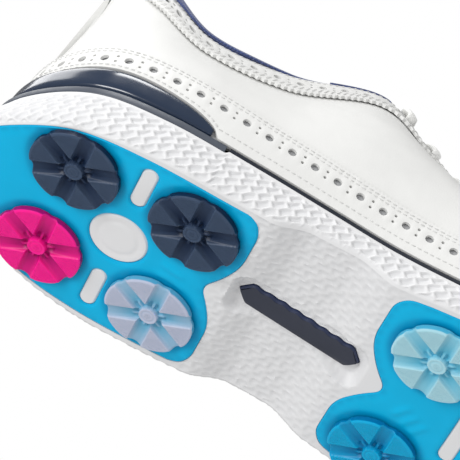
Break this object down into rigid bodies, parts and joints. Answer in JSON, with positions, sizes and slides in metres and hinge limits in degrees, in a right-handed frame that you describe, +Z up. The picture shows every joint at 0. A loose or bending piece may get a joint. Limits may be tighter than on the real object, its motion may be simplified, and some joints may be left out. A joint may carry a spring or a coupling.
{
  "type": "golf shoe",
  "caption": "Right low-cut white leather golf shoe with perforated brogue trim, navy glossy heel clip and lining, and translucent blue sole plates carrying twist-in soft cleats.",
  "frame": {"origin": "on the floor under the middle of the shoe's bounding box", "axes": "+X from heel to toe, +Y to the inner side of the foot, +Z up"},
  "size_m": [0.2954, 0.1048, 0.1008],
  "materials": {
    "sole_white": "matte moulded, bright white",
    "plate_blue": "translucent blue, softly glossy",
    "bar_navy": "satin",
    "cleat_navy": "satin translucent",
    "cleat_pink": "satin",
    "cleat_lilac": "satin translucent",
    "cleat_aqua": "satin translucent",
    "cleat_blue": "satin translucent",
    "socket_plastic": "matte",
    "cushion_foam": "matte foam",
    "rand_navy": "satin",
    "shelf_navy": "satin",
    "clip_navy": "high gloss",
    "fibreboard": "matte",
    "stiffener_board": "matte",
    "sockliner_fabric": "matte",
    "upper_leather": "fine grained, satin white",
    "lining_fabric": "matte mesh",
    "padding_foam": "matte",
    "lace_fabric": "matte braided"
  },
  "bodies": {
    "shoe": {"outsole": "sole_white", "heel_plate": "plate_blue", "ball_plate": "plate_blue", "shank_bar": "bar_navy", "socket_heel_rear_outer": "socket_plastic", "socket_heel_rear_inner": "socket_plastic", "socket_heel_front_outer": "socket_plastic", "socket_heel_front_inner": "socket_plastic", "socket_ball_rear_outer": "socket_plastic", "socket_ball_rear_inner": "socket_plastic", "socket_ball_middle_outer": "socket_plastic", "socket_ball_middle_inner": "socket_plastic", "socket_ball_front_outer": "socket_plastic", "socket_ball_front_inner": "socket_plastic", "heel_cushion": "cushion_foam", "rand_strip": "rand_navy", "heel_shelf": "shelf_navy", "heel_clip": "clip_navy", "insole_board": "fibreboard", "sockliner": "sockliner_fabric", "quarter_outer": "upper_leather", "quarter_inner": "upper_leather", "vamp": "upper_leather", "mudguard": "upper_leather", "facing_outer": "upper_leather", "facing_inner": "upper_leather", "backstay": "upper_leather", "heel_lining": "lining_fabric", "forepart_lining": "lining_fabric", "collar_foam": "padding_foam", "collar_lining": "lining_fabric", "heel_counter": "stiffener_board", "toe_puff": "stiffener_board", "tongue": "upper_leather", "tongue_pad": "lining_fabric", "lace": "lace_fabric"},
    "cleat_heel_rear_outer": {"cleat_heel_rear_outer": "cleat_navy"},
    "cleat_heel_rear_inner": {"cleat_heel_rear_inner": "cleat_pink"},
    "cleat_heel_front_outer": {"cleat_heel_front_outer": "cleat_navy"},
    "cleat_heel_front_inner": {"cleat_heel_front_inner": "cleat_lilac"},
    "cleat_ball_rear_outer": {"cleat_ball_rear_outer": "cleat_aqua"},
    "cleat_ball_rear_inner": {"cleat_ball_rear_inner": "cleat_blue"},
    "cleat_ball_middle_outer": {"cleat_ball_middle_outer": "cleat_navy"},
    "cleat_ball_middle_inner": {"cleat_ball_middle_inner": "cleat_lilac"},
    "cleat_ball_front_outer": {"cleat_ball_front_outer": "cleat_pink"},
    "cleat_ball_front_inner": {"cleat_ball_front_inner": "cleat_aqua"}
  },
  "joints": [
    {"name": "twist_heel_rear_outer", "type": "hinge", "parent": "shoe", "child": "cleat_heel_rear_outer", "pos_m": [-0.11161, -0.01937, 0.003], "axis": [0, 0, -1], "range_deg": [0, 60]},
    {"name": "twist_heel_rear_inner", "type": "hinge", "parent": "shoe", "child": "cleat_heel_rear_inner", "pos_m": [-0.11161, 0.01683, 0.003], "axis": [0, 0, -1], "range_deg": [0, 60]},
    {"name": "twist_heel_front_outer", "type": "hinge", "parent": "shoe", "child": "cleat_heel_front_outer", "pos_m": [-0.07321, -0.02147, 0.003], "axis": [0, 0, -1], "range_deg": [0, 60]},
    {"name": "twist_heel_front_inner", "type": "hinge", "parent": "shoe", "child": "cleat_heel_front_inner", "pos_m": [-0.07321, 0.01893, 0.003], "axis": [0, 0, -1], "range_deg": [0, 60]},
    {"name": "twist_ball_rear_outer", "type": "hinge", "parent": "shoe", "child": "cleat_ball_rear_outer", "pos_m": [0.00569, -0.02437, 0.003], "axis": [0, 0, -1], "range_deg": [0, 60]},
    {"name": "twist_ball_rear_inner", "type": "hinge", "parent": "shoe", "child": "cleat_ball_rear_inner", "pos_m": [0.00409, 0.02353, 0.003], "axis": [0, 0, -1], "range_deg": [0, 60]},
    {"name": "twist_ball_middle_outer", "type": "hinge", "parent": "shoe", "child": "cleat_ball_middle_outer", "pos_m": [0.03989, -0.03027, 0.003], "axis": [0, 0, -1], "range_deg": [0, 60]},
    {"name": "twist_ball_middle_inner", "type": "hinge", "parent": "shoe", "child": "cleat_ball_middle_inner", "pos_m": [0.03989, 0.02773, 0.003], "axis": [0, 0, -1], "range_deg": [0, 60]},
    {"name": "twist_ball_front_outer", "type": "hinge", "parent": "shoe", "child": "cleat_ball_front_outer", "pos_m": [0.07389, -0.02427, 0.003], "axis": [0, 0, -1], "range_deg": [0, 60]},
    {"name": "twist_ball_front_inner", "type": "hinge", "parent": "shoe", "child": "cleat_ball_front_inner", "pos_m": [0.07389, 0.02573, 0.003], "axis": [0, 0, -1], "range_deg": [0, 60]}
  ]
}
